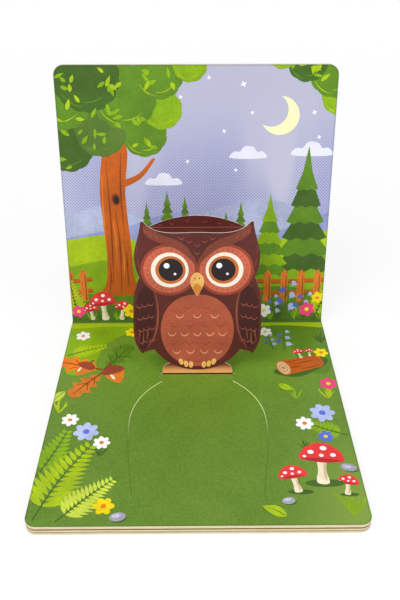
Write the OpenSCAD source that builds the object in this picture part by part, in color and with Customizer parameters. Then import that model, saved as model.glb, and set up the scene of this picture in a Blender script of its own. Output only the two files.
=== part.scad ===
// Pop-up board book, standing open on one spread.
// The lower half lies flat, the upright half stands behind it, and a folded card
// strip between them lifts a flat owl when the spread opens.
// Units are millimetres. X runs along the fold, -Y points to the reader and Z is up.
// The origin is the middle of the back cover's underside.

/* [Book] */
// Width of every page, along the fold
page_w = 180; // [150:1:240]
// Height of every page, from the fold to the fore-edge
page_h = 180; // [174:1:240]
// Radius of the outer corners of pages and covers
corner_r = 6.5; // [3:0.5:12]
// How far the upright half leans back from square
lean = 8.25; // [0:0.25:15]

/* [Boards] */
// Thickness of each cover board
cover_t = 1.5; // [1:0.05:3]
// Thickness of the leaves behind the open spread's own two
inner_leaf_t = 1.4; // [0.8:0.05:2.4]
// Gap between two leaves at the fore-edge
leaf_gap = 1; // [0.3:0.05:1.5]
// Gap between a cover and the leaf that it closes on
cover_gap = 0.3; // [0.1:0.05:0.5]
// Leaves in the half that lies flat
lower_leaves = 2; // [1:1:4]
// Leaves in the upright half
upright_leaves = 1; // [1:1:4]
// Strip along the spine where the leaves are glued together
gutter = 6; // [4:0.5:10]

/* [Spine and creases] */
// Thickness of the wrap that holds the leaves at the spine
spine_t = 0.4; // [0.3:0.05:0.8]
// Depth of the joint that ties both halves at the fold
web_t = 0.5; // [0.4:0.05:0.55]
// Distance of the page's pressed score from the fold
page_score_y = 2.6; // [2:0.1:6]
// Distance of the cover's pressed score from the spine edge
cover_score_y = 7; // [5:0.5:12]
// Width of the cover's pressed score
cover_score_w = 1.4; // [0.8:0.1:2.5]
// Width of a line pressed or cut into a page
line_w = 0.45; // [0.3:0.05:0.8]
// Depth of a line pressed or cut into a board
line_depth = 0.3; // [0.15:0.05:0.45]

/* [Card strip] */
// Thickness of the strip's card
card_t = 0.45; // [0.3:0.05:0.7]
// Distance from the fold to the slot, and depth of the strip's roof
reach = 59; // [46:0.5:62]
// Height of the roof's folds, measured up the panel and up the page
roof_h = 71.5; // [60:0.5:80]
// Width of the roof where it meets the upright page
roof_w = 68.6; // [60:0.2:72]
// Width of the front panel and the roof at the fold between them
brow_w = 60; // [50:1:66]
// Width of the foot where it enters the slot
foot_w = 45.7; // [42:0.1:48]
// Height of the foot above the flat page, to the top of its round shoulders
foot_h = 8; // [6:0.5:12]
// Radius of the foot's shoulders
shoulder_r = 6; // [4:0.25:6]
// Width of the front panel's neck, above the foot
neck_w = 33; // [28:0.5:34]
// Height of the round tab glued to the upright page
dome_h = 9; // [6:0.2:12]
// Length of the tab glued inside the flat page
tab_l = 10; // [6:0.5:16]

/* [Slot and nest lines] */
// Length of the slot in the flat page
slot_l = 50; // [49:0.5:54]
// Play of the card in the slot, in front and behind
slot_play = 0.4; // [0.15:0.05:0.6]
// Thickness of the board above the pocket for the glued tab
skin_t = 0.8; // [0.6:0.05:1]
// Thickness of the board under that pocket
liner_t = 0.45; // [0.25:0.05:0.6]
// Glue line above and below the tab in its pocket
glue_gap = 0.05; // [0.03:0.01:0.1]
// Length of the nicks that run forward from the slot's ends
nick_l = 3.5; // [2:0.5:8]
// Distance of the nest lines from the folded owl's edge
nest_play = 1.2; // [0.6:0.1:2]
// Distance from the slot to the near ends of the nest lines
nest_start = 8; // [7:0.5:12]

/* [Owl] */
// Thickness of the owl's card
owl_t = 0.55; // [0.4:0.05:0.8]
// Height of the owl's lowest edge above the flat page
chin_z = 3.4; // [2:0.2:6]
// Half of the owl's width, across the wings
wing_x = 40.2; // [38:0.2:44]
// Height of the wings' widest place
wing_z = 46; // [42:0.5:50]
// Half of the distance between the wing tips
wing_tip_x = 35.5; // [34:0.5:37]
// Height of the wing tips
wing_tip_z = 15.5; // [13:0.5:18]
// Half of the owl's width at the neck
neck_x = 35.8; // [34:0.2:38]
// Height of the neck
neck_z = 69; // [66:0.5:72]
// Half of the owl's width at the cheeks
cheek_x = 38.4; // [37:0.2:40]
// Height of the cheeks' widest place
cheek_z = 82; // [79:0.5:86]
// Half of the distance between the ear tufts' tips
tuft_x = 33; // [30:0.5:36]
// Height of the ear tufts' tips
tuft_z = 106; // [103:0.2:110]
// Height of the crown between the tufts
crown_z = 98.5; // [92:0.5:101]

/* [Hidden] */
$fn = 64;

meadow_green = [0.42, 0.56, 0.19];
sky_lilac = [0.72, 0.72, 0.85];
board_cream = [0.89, 0.83, 0.71];
cover_green = [0.30, 0.47, 0.17];
card_rust = [0.76, 0.46, 0.26];
owl_brown = [0.38, 0.18, 0.14];

// Room by which a cutting shape passes the surface that it cuts
over = 1;

// The open spread's leaves hold the tab's pocket, so their thickness follows it
pocket_t = card_t + 2 * glue_gap;
leaf_t = skin_t + pocket_t + liner_t;
function stack_t(leaves) = leaf_t + (leaves - 1) * (inner_leaf_t + leaf_gap);
lower_t = stack_t(lower_leaves);
upright_t = stack_t(upright_leaves);

// The fold, where the spread's two printed faces meet
fold_y = page_h / 2;
fold_z = cover_t + cover_gap + lower_t;

// The middle of the card where it bends from the front panel into the pocket,
// in the front panel's own frame and then in the flat page's
bend_z = (-skin_t - glue_gap - card_t / 2 - card_t / 2 * sin(lean)) / cos(lean);
bend_y = -reach - card_t / 2 * cos(lean) + bend_z * sin(lean);
slot_back_y = -reach + slot_play;
slot_front_y = bend_y - card_t / 2 - slot_play;

// A cubic curve from a to b that leaves a at one heading and meets b at another,
// as points without the last one
function heading(angle) = [cos(angle), sin(angle)];
function cubic(a, b, c, d, t) =
    pow(1 - t, 3) * a + 3 * pow(1 - t, 2) * t * b + 3 * (1 - t) * pow(t, 2) * c + pow(t, 3) * d;
function bow(a, leaving, b, meeting, steps) =
    let (h = 0.36 * norm(b - a))
    [for (i = [0:steps - 1])
        cubic(a, a + h * heading(leaving), b - h * heading(meeting), b, i / steps)];

// The points of a path in the opposite order, and mirrored about the middle line
function reversed(path) = [for (i = [len(path) - 1:-1:0]) path[i]];
function flipped(path) = [for (p = path) [-p[0], p[1]]];

// A path moved sideways by d, to its right as it runs
function side_of(path, i) =
    let (run = path[min(i + 1, len(path) - 1)] - path[max(i - 1, 0)])
    [run[1], -run[0]] / norm(run);
function shifted(path, d) = [for (i = [0:len(path) - 1]) path[i] + d * side_of(path, i)];

// Frames: the flat page, the upright page and the strip's front panel, which is parallel
// to the upright page. In the last two Z runs up the face and -Y points out of it.
module on_flat() translate([0, fold_y, fold_z]) children();
module on_upright() translate([0, fold_y, fold_z]) rotate([-lean, 0, 0]) children();
module on_panel() translate([0, fold_y - reach, fold_z]) rotate([-lean, 0, 0]) children();

// A sheet of thickness t that stands in a face's frame, from its front at y to y + t
module standing(y, t) translate([0, y + t, 0]) rotate([90, 0, 0]) linear_extrude(t) children();

// Outline of a board that starts tail before the fold, with its outer corners round
module board_outline(tail = 0) {
    translate([-page_w / 2, -tail]) square([page_w, tail + page_h - corner_r]);
    translate([-page_w / 2 + corner_r, page_h - 2 * corner_r])
        square([page_w - 2 * corner_r, 2 * corner_r]);
    for (side = [-1, 1])
        translate([side * (page_w / 2 - corner_r), page_h - corner_r]) circle(corner_r);
}

module flat_board(depth, t, tail = 0)
    translate([0, 0, -depth - t]) linear_extrude(t) mirror([0, 1]) board_outline(tail);

module upright_board(depth, t, tail = 0) standing(depth, t) board_outline(tail);

// Gaps between the leaves of a stack, measured behind its front, open at the fore-edge
module leaf_gaps(leaves) {
    for (i = [1:1:leaves - 1])
        translate([-page_w / 2 - over, leaf_t + (i - 1) * (inner_leaf_t + leaf_gap), gutter])
            cube([page_w + 2 * over, leaf_gap, page_h]);
}

// A line along a path, as a band of the line's width
module line_band(path)
    polygon(concat(shifted(path, line_w / 2), reversed(shifted(path, -line_w / 2))));

// The nest lines follow the owl's sides where it lies when the book is shut
nest_end = [tuft_x + 2 * nest_play, tuft_z - 4];
nest_side = [wing_x + nest_play, wing_z];
nest_path = concat(
    bow([foot_w / 2, nest_start], 38, nest_side, 90, 14),
    bow(nest_side, 90, nest_end, 98, 12),
    [nest_end]);

module nest_lines()
    translate([0, -reach, -line_depth]) linear_extrude(line_depth + over) mirror([0, 1]) {
        line_band(nest_path);
        mirror([1, 0]) line_band(nest_path);
    }

// The slot for the strip, the pocket in front of it and the nicks at its ends
module slot() {
    pocket_z = -skin_t - pocket_t;
    translate([-slot_l / 2, slot_front_y, pocket_z])
        cube([slot_l, slot_back_y - slot_front_y, over - pocket_z]);
    translate([-slot_l / 2, bend_y - tab_l - slot_play, pocket_z])
        cube([slot_l, tab_l + slot_play, pocket_t]);
    for (side = [-1, 1])
        translate([side * (slot_l - line_w) / 2 - line_w / 2, slot_front_y - nick_l, -line_depth])
            cube([line_w, nick_l + slot_play, line_depth + over]);
}

module flat_leaves() color(meadow_green) difference() {
    flat_board(0, lower_t);
    rotate([90, 0, 0]) mirror([0, 1, 0]) leaf_gaps(lower_leaves);
    translate([-page_w / 2 - over, -page_score_y - line_w / 2, -line_depth])
        cube([page_w + 2 * over, line_w, line_depth + over]);
    slot();
    nest_lines();
}

module upright_leaves_stack() color(sky_lilac) difference() {
    upright_board(0, upright_t);
    leaf_gaps(upright_leaves);
}

// Outlines across the fold, drawn in the plane of Y and Z with the fold at the middle:
// a point so far behind the upright page's face and so far above the fold along it
function behind(depth, up) = [depth * cos(lean) + up * sin(lean), up * cos(lean) - depth * sin(lean)];

module along_fold(width) rotate([90, 0, 90]) translate([0, 0, -width / 2])
    linear_extrude(width) children();

// The creased paper that ties the two halves together behind the fold
module fold_web() color(board_cream) along_fold(page_w)
    polygon([[0, 0], [0, -web_t], behind(web_t, 0)]);

module pages() {
    on_flat() flat_leaves();
    on_upright() upright_leaves_stack();
    on_flat() fold_web();
}

// The wrap down the end of the flat half and under the end of the upright half
module spine() color(cover_green) on_flat() along_fold(page_w)
    polygon([
        [0, -web_t], [0, -lower_t], [spine_t, -lower_t],
        [spine_t, -spine_t * (1 + sin(lean)) / cos(lean)],
        behind(upright_t, -spine_t), behind(upright_t, 0), behind(web_t, 0)]);

// The covers reach past the fold by the wrap's thickness and close over its edges
module back_cover() color(cover_green) on_flat() difference() {
    flat_board(lower_t + cover_gap, cover_t, spine_t);
    translate([-page_w / 2 - over, spine_t - cover_score_y - cover_score_w / 2, -fold_z - over])
        cube([page_w + 2 * over, cover_score_w, line_depth + over]);
}

module front_cover() color(cover_green) on_upright() difference() {
    upright_board(upright_t + cover_gap, cover_t, spine_t);
    translate([-page_w / 2 - over, upright_t + cover_gap + cover_t - line_depth,
        cover_score_y - spine_t - cover_score_w / 2])
        cube([page_w + 2 * over, line_depth + over, cover_score_w]);
}

// Half of the front panel: the foot in the slot, its shoulder, the neck and the flare to the roof
shoulder = [foot_w / 2 - shoulder_r, foot_h - shoulder_r];
neck = [neck_w / 2, foot_h + shoulder_r / 2];
brow = [brow_w / 2, roof_h - 2 * foot_h];
panel_half = concat(
    [[foot_w / 2, bend_z]],
    [for (i = [0:7]) shoulder + shoulder_r * heading(9 * i)],
    bow(shoulder + shoulder_r * heading(72), 162, neck, 90, 5),
    bow(neck, 90, brow, 90, 14),
    [brow, [brow_w / 2, roof_h + card_t / 2]]);

module panel_outline() polygon(concat(panel_half, reversed(flipped(panel_half))));

// The shallow arc of the tab that is glued up the page: a chord roof_w wide and dome_h high
dome_r = (pow(roof_w / 2, 2) + pow(dome_h, 2)) / (2 * dome_h);
module dome_outline() intersection() {
    translate([0, dome_h - dome_r]) circle(dome_r, $fn = 180);
    translate([-roof_w / 2, 0]) square([roof_w, dome_h + over]);
}

module roof_outline() polygon([
    [-roof_w / 2, 0], [roof_w / 2, 0], [brow_w / 2, -reach], [-brow_w / 2, -reach]]);

// The card is one piece, creased where each panel ends half a thickness inside the next
module popup_strip() color(card_rust) {
    on_panel() standing(-card_t, card_t) panel_outline();
    on_flat() translate([-foot_w / 2, bend_y - tab_l, -skin_t - glue_gap - card_t])
        cube([foot_w, tab_l + card_t / 2, card_t]);
    on_upright() {
        translate([0, 0, roof_h]) standing(-card_t, card_t) {
            dome_outline();
            translate([-roof_w / 2, -card_t / 2]) square([roof_w, card_t]);
        }
        translate([0, -card_t / 2, roof_h]) rotate([lean, 0, 0])
            translate([0, 0, -card_t / 2]) linear_extrude(card_t) roof_outline();
    }
}

// Half of the owl's outline, from its lowest point round the wing, neck, cheek and tuft
body_edge = [wing_tip_x - 8, wing_tip_z + 3];
tuft_r = 0.9;
owl_half = concat(
    bow([0, chin_z], 0, body_edge, 58, 10),
    bow(body_edge, -12, [wing_tip_x, wing_tip_z], -40, 4),
    bow([wing_tip_x, wing_tip_z], 52, [wing_x, wing_z], 90, 9),
    bow([wing_x, wing_z], 90, [neck_x, neck_z], 112, 8),
    bow([neck_x, neck_z], 74, [cheek_x, cheek_z], 90, 6),
    bow([cheek_x, cheek_z], 90, [tuft_x + tuft_r, tuft_z - tuft_r], 94, 7),
    bow([tuft_x + tuft_r, tuft_z - tuft_r], 96, [tuft_x - tuft_r, tuft_z - tuft_r], 236, 4),
    bow([tuft_x - tuft_r, tuft_z - tuft_r], 232, [0, crown_z], 180, 12));

module owl_outline()
    polygon(concat(owl_half, [[0, crown_z]],
        reversed(flipped([for (i = [1:len(owl_half) - 1]) owl_half[i]]))));

module owl_figure() color(owl_brown) on_panel() standing(-card_t - owl_t, owl_t) owl_outline();

pages();
spine();
back_cover();
front_cover();
popup_strip();
owl_figure();
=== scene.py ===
import math
import random

import bpy
from mathutils import Matrix, Vector
from mathutils.geometry import tessellate_polygon


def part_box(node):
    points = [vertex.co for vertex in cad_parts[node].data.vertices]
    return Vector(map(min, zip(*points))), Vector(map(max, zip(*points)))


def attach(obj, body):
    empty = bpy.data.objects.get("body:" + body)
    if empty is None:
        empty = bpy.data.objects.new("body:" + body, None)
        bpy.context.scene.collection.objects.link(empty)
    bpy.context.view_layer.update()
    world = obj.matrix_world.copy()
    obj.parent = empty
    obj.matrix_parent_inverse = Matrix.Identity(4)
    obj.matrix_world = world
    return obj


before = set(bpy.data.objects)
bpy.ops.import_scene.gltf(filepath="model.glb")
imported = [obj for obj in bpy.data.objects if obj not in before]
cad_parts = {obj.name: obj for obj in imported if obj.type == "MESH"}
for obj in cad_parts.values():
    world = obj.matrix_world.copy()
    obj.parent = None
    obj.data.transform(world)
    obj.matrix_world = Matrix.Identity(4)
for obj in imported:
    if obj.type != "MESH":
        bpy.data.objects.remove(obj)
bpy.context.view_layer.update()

# Sizes of the book: FOLD_Y and FLAT_Z in metres, as the frame has them, and the others in
# millimetres on its faces. REACH is how far the strip's slot lies in front of the fold,
# ROOF_H how high its roof meets the upright page and SCORE where the leaves are pressed
MM = 0.001
LEAN = math.radians(8.25)
FOLD_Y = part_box("spine")[0].y
FLAT_Z = 0.006
PAGE = 180.0
CORNER_R = 6.5
REACH = 59.0
ROOF_H = 71.5
ROOF_W = 68.6
CARD_T = 0.45
OWL_T = 0.55
COVER_T = 1.5
LOWER_T = 4.2
UPRIGHT_T = 3.6
SCORE = 2.6

# Print is laid on a face in thin films: a shape lies one level above the other inks that
# it covers, and a hair above shapes of its own ink. Print ends TRIM short of a board's edge,
# and triangles under SLIVER_AREA are left out
FILM = 0.02
LEVEL = 0.008
HAIR = LEVEL / 32
MOST_HAIRS = 30
TRIM = 0.12
SLIVER_AREA = 1e-7

# Colours of the board, its cut lines and the owl, and sizes of edges in millimetres. The colours at the
# rims, in the gaps between boards and at the slot are painted shade, and the next leaf's print is
# darkened with painted shade
BOARD_EDGE = (228, 213, 187)
BOARD_EDGE_DARK = (202, 186, 155)
# Painted shade in a band of this colour and depth in millimetres, along the cut edges where the page
# block and a cover meet
GAP_SHADE = (140, 122, 62)
GAP_SHADE_T = 0.35
CARD_EDGE = (255, 248, 232)
# Painted shade along the boards' rounded-over outer edges: its colour, strength and span in millimetres
RIM_SHADE = (24, 34, 10)
RIM_STRENGTH = 0.26
RIM_SPAN = (1.4, 0.2)
CUT_LINE = (230, 239, 190)
CUT_LINE_FAR = (106, 138, 52)
CUT_FADE = (REACH + 30, REACH + 64)
# The next leaf's print where it shows in the gap under the top leaf, darkened with painted shade
NEXT_LEAF_SHADED = (148, 126, 22)
SLOT_SHADE = (50, 28, 18)
SLOT_NICK = (150, 164, 84)
OWL_DARK = (84, 34, 30)
OWL_BASE = (99, 42, 37)

# The middle part of a noise's values, the sky's screen of dots and the finish of the print
NOISE_SPAN = (0.32, 0.68)
DOT_PITCH = 2.1
SMUDGES = 0.16
GRAIN = 0.00002

# Directions of the upright half: up its face and out of it to the reader
UP = Vector((0, math.sin(LEAN), math.cos(LEAN)))
OUT = Vector((0, -math.cos(LEAN), math.sin(LEAN)))
FOLD = Vector((0, FOLD_Y, FLAT_Z))
SLOT = FOLD - Vector((0, REACH * MM, 0))


def face(origin, u, v, w):
    """The matrix from a face's own metres (across, up, out) to the book's frame."""
    columns = Matrix((u, v, w)).transposed().to_4x4()
    return Matrix.Translation(origin) @ columns


X, Y, Z = Vector((1, 0, 0)), Vector((0, 1, 0)), Vector((0, 0, 1))
FLAT = face(FOLD, X, Y, Z)
UPRIGHT = face(FOLD, X, UP, OUT)
OWL = face(SLOT + OUT * (CARD_T + OWL_T) * MM, X, UP, OUT)
DOME = face(FOLD + UP * ROOF_H * MM + OUT * CARD_T * MM, X, UP, OUT)
COVER_BACK = face(FOLD - OUT * UPRIGHT_T * MM, -X, UP, -OUT)
COVER_UNDER = face(Vector((0, FOLD_Y, 0)), X, -Y, -Z)


def linear(rgb):
    """Colour values from 0 to 255, as they look, to the values that a shader takes."""
    def one(c):
        c /= 255
        return c / 12.92 if c <= 0.04045 else ((c + 0.055) / 1.055) ** 2.4
    return (one(rgb[0]), one(rgb[1]), one(rgb[2]), 1.0)


def shade(rgb, k):
    return tuple(min(255, c * k) for c in rgb)


def add_object(name, data):
    thing = bpy.data.objects.new(name, data)
    bpy.context.scene.collection.objects.link(thing)
    return thing


class Graph:
    """The nodes of one material. Most methods add nodes and return the last one's output."""

    def __init__(self, name, roughness=0.45, coat=0.0):
        self.material = bpy.data.materials.new(name)
        self.material.use_nodes = True
        self.tree = self.material.node_tree
        self.tree.nodes.clear()
        output = self.add("OutputMaterial")
        self.shader = self.add("BsdfPrincipled")
        self.tree.links.new(self.shader.outputs[0], output.inputs[0])
        self.roughness = roughness
        self.shader.inputs["Specular IOR Level"].default_value = 0.25
        self.shader.inputs["Coat Weight"].default_value = coat
        self.shader.inputs["Coat Roughness"].default_value = 0.35
        self.coords = self.add("TexCoord")

    def add(self, kind):
        return self.tree.nodes.new("ShaderNode" + kind)

    def give(self, socket, value):
        """Links a socket to another one, or sets it to a value."""
        if isinstance(value, bpy.types.NodeSocket):
            self.tree.links.new(value, socket)
        else:
            socket.default_value = value

    def math(self, operation, a, b=0.0):
        node = self.add("Math")
        node.operation = operation
        self.give(node.inputs[0], a)
        self.give(node.inputs[1], b)
        return node.outputs[0]

    def times(self, value, *factors):
        for factor in factors:
            value = self.math("MULTIPLY", value, factor)
        return value

    def above(self, value, limit):
        return self.math("GREATER_THAN", value, limit)

    def below(self, value, limit):
        return self.math("LESS_THAN", value, limit)

    def dot(self, vector, direction):
        node = self.add("VectorMath")
        node.operation = "DOT_PRODUCT"
        self.give(node.inputs[0], vector)
        node.inputs[1].default_value = direction
        return node.outputs["Value"]

    def along(self, direction, origin=(0, 0, 0)):
        """How far a point lies from the origin given along a direction, in millimetres."""
        base = self.dot(self.coords.outputs["Object"], direction)
        return self.times(self.math("SUBTRACT", base, Vector(origin).dot(direction)), 1 / MM)

    def facing_out(self, direction, least=0.8):
        """1 where the surface faces along the direction."""
        return self.above(self.dot(self.coords.outputs["Normal"], direction), least)

    def facing(self, direction, least=0.8):
        """1 where the surface faces along the direction or against it."""
        turned = self.dot(self.coords.outputs["Normal"], direction)
        return self.above(self.math("ABSOLUTE", turned), least)

    def ramp(self, value, start, end):
        """0 up to the start, 1 from the end on and smooth between them."""
        node = self.add("MapRange")
        node.interpolation_type = "SMOOTHSTEP"
        self.give(node.inputs["Value"], value)
        node.inputs["From Min"].default_value = start
        node.inputs["From Max"].default_value = end
        return node.outputs[0]

    def mix(self, factor, a, b):
        node = self.add("Mix")
        node.data_type = "RGBA"
        self.give(node.inputs[0], factor)
        self.give(node.inputs[6], linear(a) if isinstance(a, tuple) else a)
        self.give(node.inputs[7], linear(b) if isinstance(b, tuple) else b)
        return node.outputs[2]

    def noise(self, scale, detail, roughness, stretch=None):
        node = self.add("TexNoise")
        node.inputs["Scale"].default_value = scale
        node.inputs["Detail"].default_value = detail
        node.inputs["Roughness"].default_value = roughness
        vector = self.coords.outputs["Object"]
        if stretch:
            mapping = self.add("Mapping")
            mapping.inputs["Scale"].default_value = stretch
            self.tree.links.new(vector, mapping.inputs["Vector"])
            vector = mapping.outputs[0]
        self.tree.links.new(vector, node.inputs["Vector"])
        return node.outputs[0]

    def mottled(self, dark, light, cloud=60, speck=900, cloudy=0.6):
        """Two tones of a print, in soft clouds with a fine sponge-like speckle."""
        clouds = self.times(self.noise(cloud, 4, 0.6), cloudy)
        specks = self.times(self.noise(speck, 2, 0.7), 1 - cloudy)
        return self.mix(self.ramp(self.math("ADD", clouds, specks), *NOISE_SPAN), dark, light)

    def rim_shaded(self, colour):
        """The colour, with painted shade along the boards' outer edges, where the cutter rounds them
        over.
        """
        across = self.math("ABSOLUTE", self.along(X))
        along = self.math("MAXIMUM", self.along(-Y, FOLD), self.along(UP, FOLD))
        past = [self.math("MAXIMUM", self.math("SUBTRACT", place, end - CORNER_R), 0.0)
                for place, end in ((across, PAGE / 2), (along, PAGE))]
        squares = [self.times(value, value) for value in past]
        rim = self.math("SUBTRACT", CORNER_R, self.math("SQRT", self.math("ADD", *squares)))
        return self.mix(self.times(self.ramp(rim, *RIM_SPAN), RIM_STRENGTH), colour, RIM_SHADE)

    def coloured(self, colour):
        """The finished material, with fine paper grain and a sheen that varies from handling."""
        self.give(self.shader.inputs["Base Color"], colour)
        smudges = self.times(self.noise(34, 4, 0.6), SMUDGES)
        self.give(self.shader.inputs["Roughness"],
                  self.math("ADD", smudges, self.roughness - SMUDGES / 2))
        grain = self.add("Bump")
        grain.inputs["Strength"].default_value = 0.5
        grain.inputs["Distance"].default_value = GRAIN
        self.give(grain.inputs["Height"], self.noise(2600, 2, 0.6))
        self.give(self.shader.inputs["Normal"], grain.outputs[0])
        return self.material


def board_edge(g, across):
    """The cut edge of board: pale fibre in fine layers, seen along its thickness."""
    layers = g.math("SINE", g.times(across, 9.0))
    fibres = g.noise(420, 3, 0.6, (0.25, 0.25, 6))
    tone = g.math("ADD", g.times(layers, 0.10), fibres)
    return g.mix(g.ramp(tone, 0.25, 0.75), BOARD_EDGE_DARK, BOARD_EDGE)


def sky_print(g):
    """Lilac sky in soft upright bands, with a fine screen of darker dots between them."""
    across = g.along(X)
    height = g.along(UP, FOLD)
    bands = g.noise(26, 1, 0.4, (1, 0.02, 0.02))
    lit = g.mix(g.ramp(bands, 0.36, 0.62), (173, 176, 210), (194, 195, 218))
    lit = g.mix(g.ramp(height, 60, 190), lit, (175, 176, 198))
    waves = [g.math("COSINE", g.times(way, 2 * math.pi / DOT_PITCH)) for way in (across, height)]
    dots = g.ramp(g.times(*waves), 0.05, 0.45)
    place = g.ramp(g.noise(24, 1, 0.4, (1, 0.25, 0.25)), 0.32, 0.44)
    shown = g.times(dots, place, g.ramp(height, 160, 105), 0.9)
    return g.rim_shaded(g.mix(shown, lit, (112, 118, 184)))


def meadow_print(g):
    """Grass green, lighter towards the fold, with a painted sheen in the near right corner."""
    near = g.mottled((86, 119, 34), (104, 138, 46), 45, 900, 0.3)
    far = g.mottled((104, 142, 36), (122, 160, 45), 45, 900, 0.3)
    reach = g.along(-Y, FOLD)
    # A painted sheen lightens the print in the near right corner
    painted_sheen = g.times(g.ramp(g.along(X), 40, 92), g.ramp(reach, 90, 180))
    near = g.mix(painted_sheen, near, (124, 152, 62))
    return g.rim_shaded(g.mix(g.ramp(reach, -10, 120), far, near))


def pages_material():
    """The spread's print, the lines cut into it, the next leaf's print darkened with painted shade, and
    the pale cut edges with painted shade where they meet the cover.
    """
    g = Graph("pages_print")
    face_skin, cut_floor, cut_wall, leaf_gap = 0.02, 0.1, 0.35, 0.5
    side_edge, fore_edge, nicks_end = PAGE / 2 - 0.5, PAGE - 10, REACH + 5
    depth = g.along(-Z, FOLD)
    reach = g.along(-Y, FOLD)
    in_front = g.above(g.along(OUT, FOLD), face_skin)
    cut = g.mix(g.ramp(reach, *CUT_FADE), CUT_LINE, CUT_LINE_FAR)
    cut = g.mix(g.below(reach, nicks_end), cut, SLOT_NICK)
    meadow = g.mix(g.above(depth, cut_floor), meadow_print(g), cut)
    # In the gap under the top leaf, the next leaf's print darkened with painted shade
    meadow = g.mix(g.above(depth, leaf_gap), meadow, NEXT_LEAF_SHADED)
    # Painted shade along the bottom of the pages' cut edge, where they meet the back cover
    edge = g.mix(g.above(depth, LOWER_T - GAP_SHADE_T), board_edge(g, depth), GAP_SHADE)
    walls = g.times(g.below(g.math("ABSOLUTE", g.along(X)), side_edge), g.below(reach, fore_edge),
                    g.below(depth, cut_wall))
    edge = g.mix(walls, edge, cut)
    edge = g.mix(in_front, board_edge(g, g.along(-OUT, FOLD)), edge)
    colour = g.mix(g.times(g.facing_out(Z), in_front), edge, meadow)
    back = g.mottled((206, 214, 150), (222, 228, 176), 50, 800)
    colour = g.mix(g.facing_out(-Z), colour, back)
    upright = g.times(g.facing_out(OUT), g.math("SUBTRACT", 1.0, in_front))
    colour = g.mix(upright, colour, sky_print(g))
    return g.coloured(g.mix(g.facing_out(-OUT), colour, back))


def cover_material(name, out, origin):
    """Green printed board outside, plain pale paper inside and cut edges between them, with painted
    shade along the edges beside the inner face.
    """
    g = Graph(name, 0.38, 0.25)
    inward = g.along(-out, origin)
    printed = g.rim_shaded(g.mottled((66, 104, 30), (88, 130, 40), 40, 800))
    lining = g.mottled((226, 218, 200), (238, 232, 218))
    # Painted shade along the cut edge next to the inner face, where the pages meet the cover
    edge = g.mix(g.above(inward, COVER_T - GAP_SHADE_T), board_edge(g, inward), GAP_SHADE)
    surface = g.mix(g.facing(out), edge, lining)
    return g.coloured(g.mix(g.facing_out(out), surface, printed))


def spine_material():
    g = Graph("spine_print", 0.4, 0.2)
    return g.coloured(g.mottled((62, 98, 28), (84, 124, 38), 40, 800))


def strip_material():
    """Card printed on its outside: amber at the foot, darkening to brown above partly in print and
    partly in painted shade, brown on the roof, and a painted shadow where it leaves the slot.
    """
    g = Graph("strip_print")
    height = g.along(UP, SLOT)
    foot = g.mottled((236, 156, 90), (248, 178, 112))
    # Painted shade darkens the amber foot upwards, towards the brown print behind the owl
    shaded = g.mix(g.ramp(height, 1.5, 7.5), foot, (122, 60, 36))
    shaded = g.mix(g.ramp(height, 6, 12), shaded, OWL_DARK)
    # A painted shadow in a thin dark line where the strip leaves the slot
    shaded = g.mix(g.below(height, 0.5), shaded, SLOT_SHADE)
    roof = g.mottled(OWL_DARK, OWL_BASE)
    plain = g.mottled((226, 220, 208), (238, 233, 224))
    outside = g.mix(g.above(g.along(OUT, SLOT), -0.05), roof, shaded)
    sides = g.mix(g.facing(X, 0.5), plain, CARD_EDGE)
    sides = g.mix(g.facing_out(OUT, 0.9), sides, outside)
    return g.coloured(g.mix(g.facing_out(Z, 0.995), sides, roof))


def owl_material():
    g = Graph("owl_print")
    front = g.mottled((79, 32, 28), (95, 41, 37), 50, 900)
    back = g.mottled((222, 216, 204), (236, 231, 222))
    sides = g.mix(g.facing(OUT), CARD_EDGE, back)
    return g.coloured(g.mix(g.facing_out(OUT), sides, front))


# The printed colours, one of them a painted highlight, and how much the clouds in them differ in tone
INK_COLOURS = {
    "leaf_dark": (64, 98, 28), "leaf": (92, 134, 28), "leaf_bright": (132, 172, 12),
    "lime": (166, 194, 14), "lime_pale": (196, 214, 70), "moss": (84, 116, 40),
    "bark": (192, 92, 20), "bark_light": (214, 120, 38), "bark_dark": (140, 60, 12),
    "hill_far": (150, 158, 208), "hill_mist": (174, 182, 214), "cloud": (226, 228, 242),
    "moon": (250, 240, 190), "yellow": (246, 222, 12), "orange": (248, 128, 20),
    "pink": (250, 70, 128), "red": (232, 56, 56), "red_dark": (186, 34, 44),
    "white": (246, 246, 250), "blue": (92, 112, 208), "blue_pale": (182, 194, 238),
    "stem_cream": (240, 226, 196), "stem_shade": (212, 190, 150), "stone": (160, 160, 178),
    "stone_light": (196, 196, 210), "belly": (174, 85, 60), "belly_light": (226, 152, 112),
    "belly_dark": (150, 68, 46), "wing": (66, 26, 24), "feather": (146, 76, 58),
    "crease": (176, 118, 92), "disc": (150, 64, 42), "disc_light": (198, 100, 74),
    "disc_line": (172, 80, 54), "eye_cream": (240, 230, 218), "amber_dark": (222, 140, 50),
    "iris": (196, 108, 46), "pupil": (38, 29, 33), "brow": (126, 62, 46), "beak": (240, 184, 104),
    "cover_leaf": (106, 150, 48), "cover_leaf_dark": (50, 84, 24), "cover_band": (196, 206, 150),
}
INK_DEPTH = {"pupil": 0.04, "white": 0.02, "eye_cream": 0.04, "moon": 0.04, "cloud": 0.03}
USUAL_DEPTH = 0.12
inks = {}


def ink(name):
    """A printed colour with the same clouds and speckle as the rest of the sheet."""
    if name not in inks:
        rgb, depth = INK_COLOURS[name], INK_DEPTH.get(name, USUAL_DEPTH)
        g = Graph("ink_" + name)
        printed = g.mottled(shade(rgb, 1 - depth), shade(rgb, 1 + depth / 2), 55, 800)
        inks[name] = g.coloured(g.rim_shaded(printed))
    return inks[name]


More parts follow.
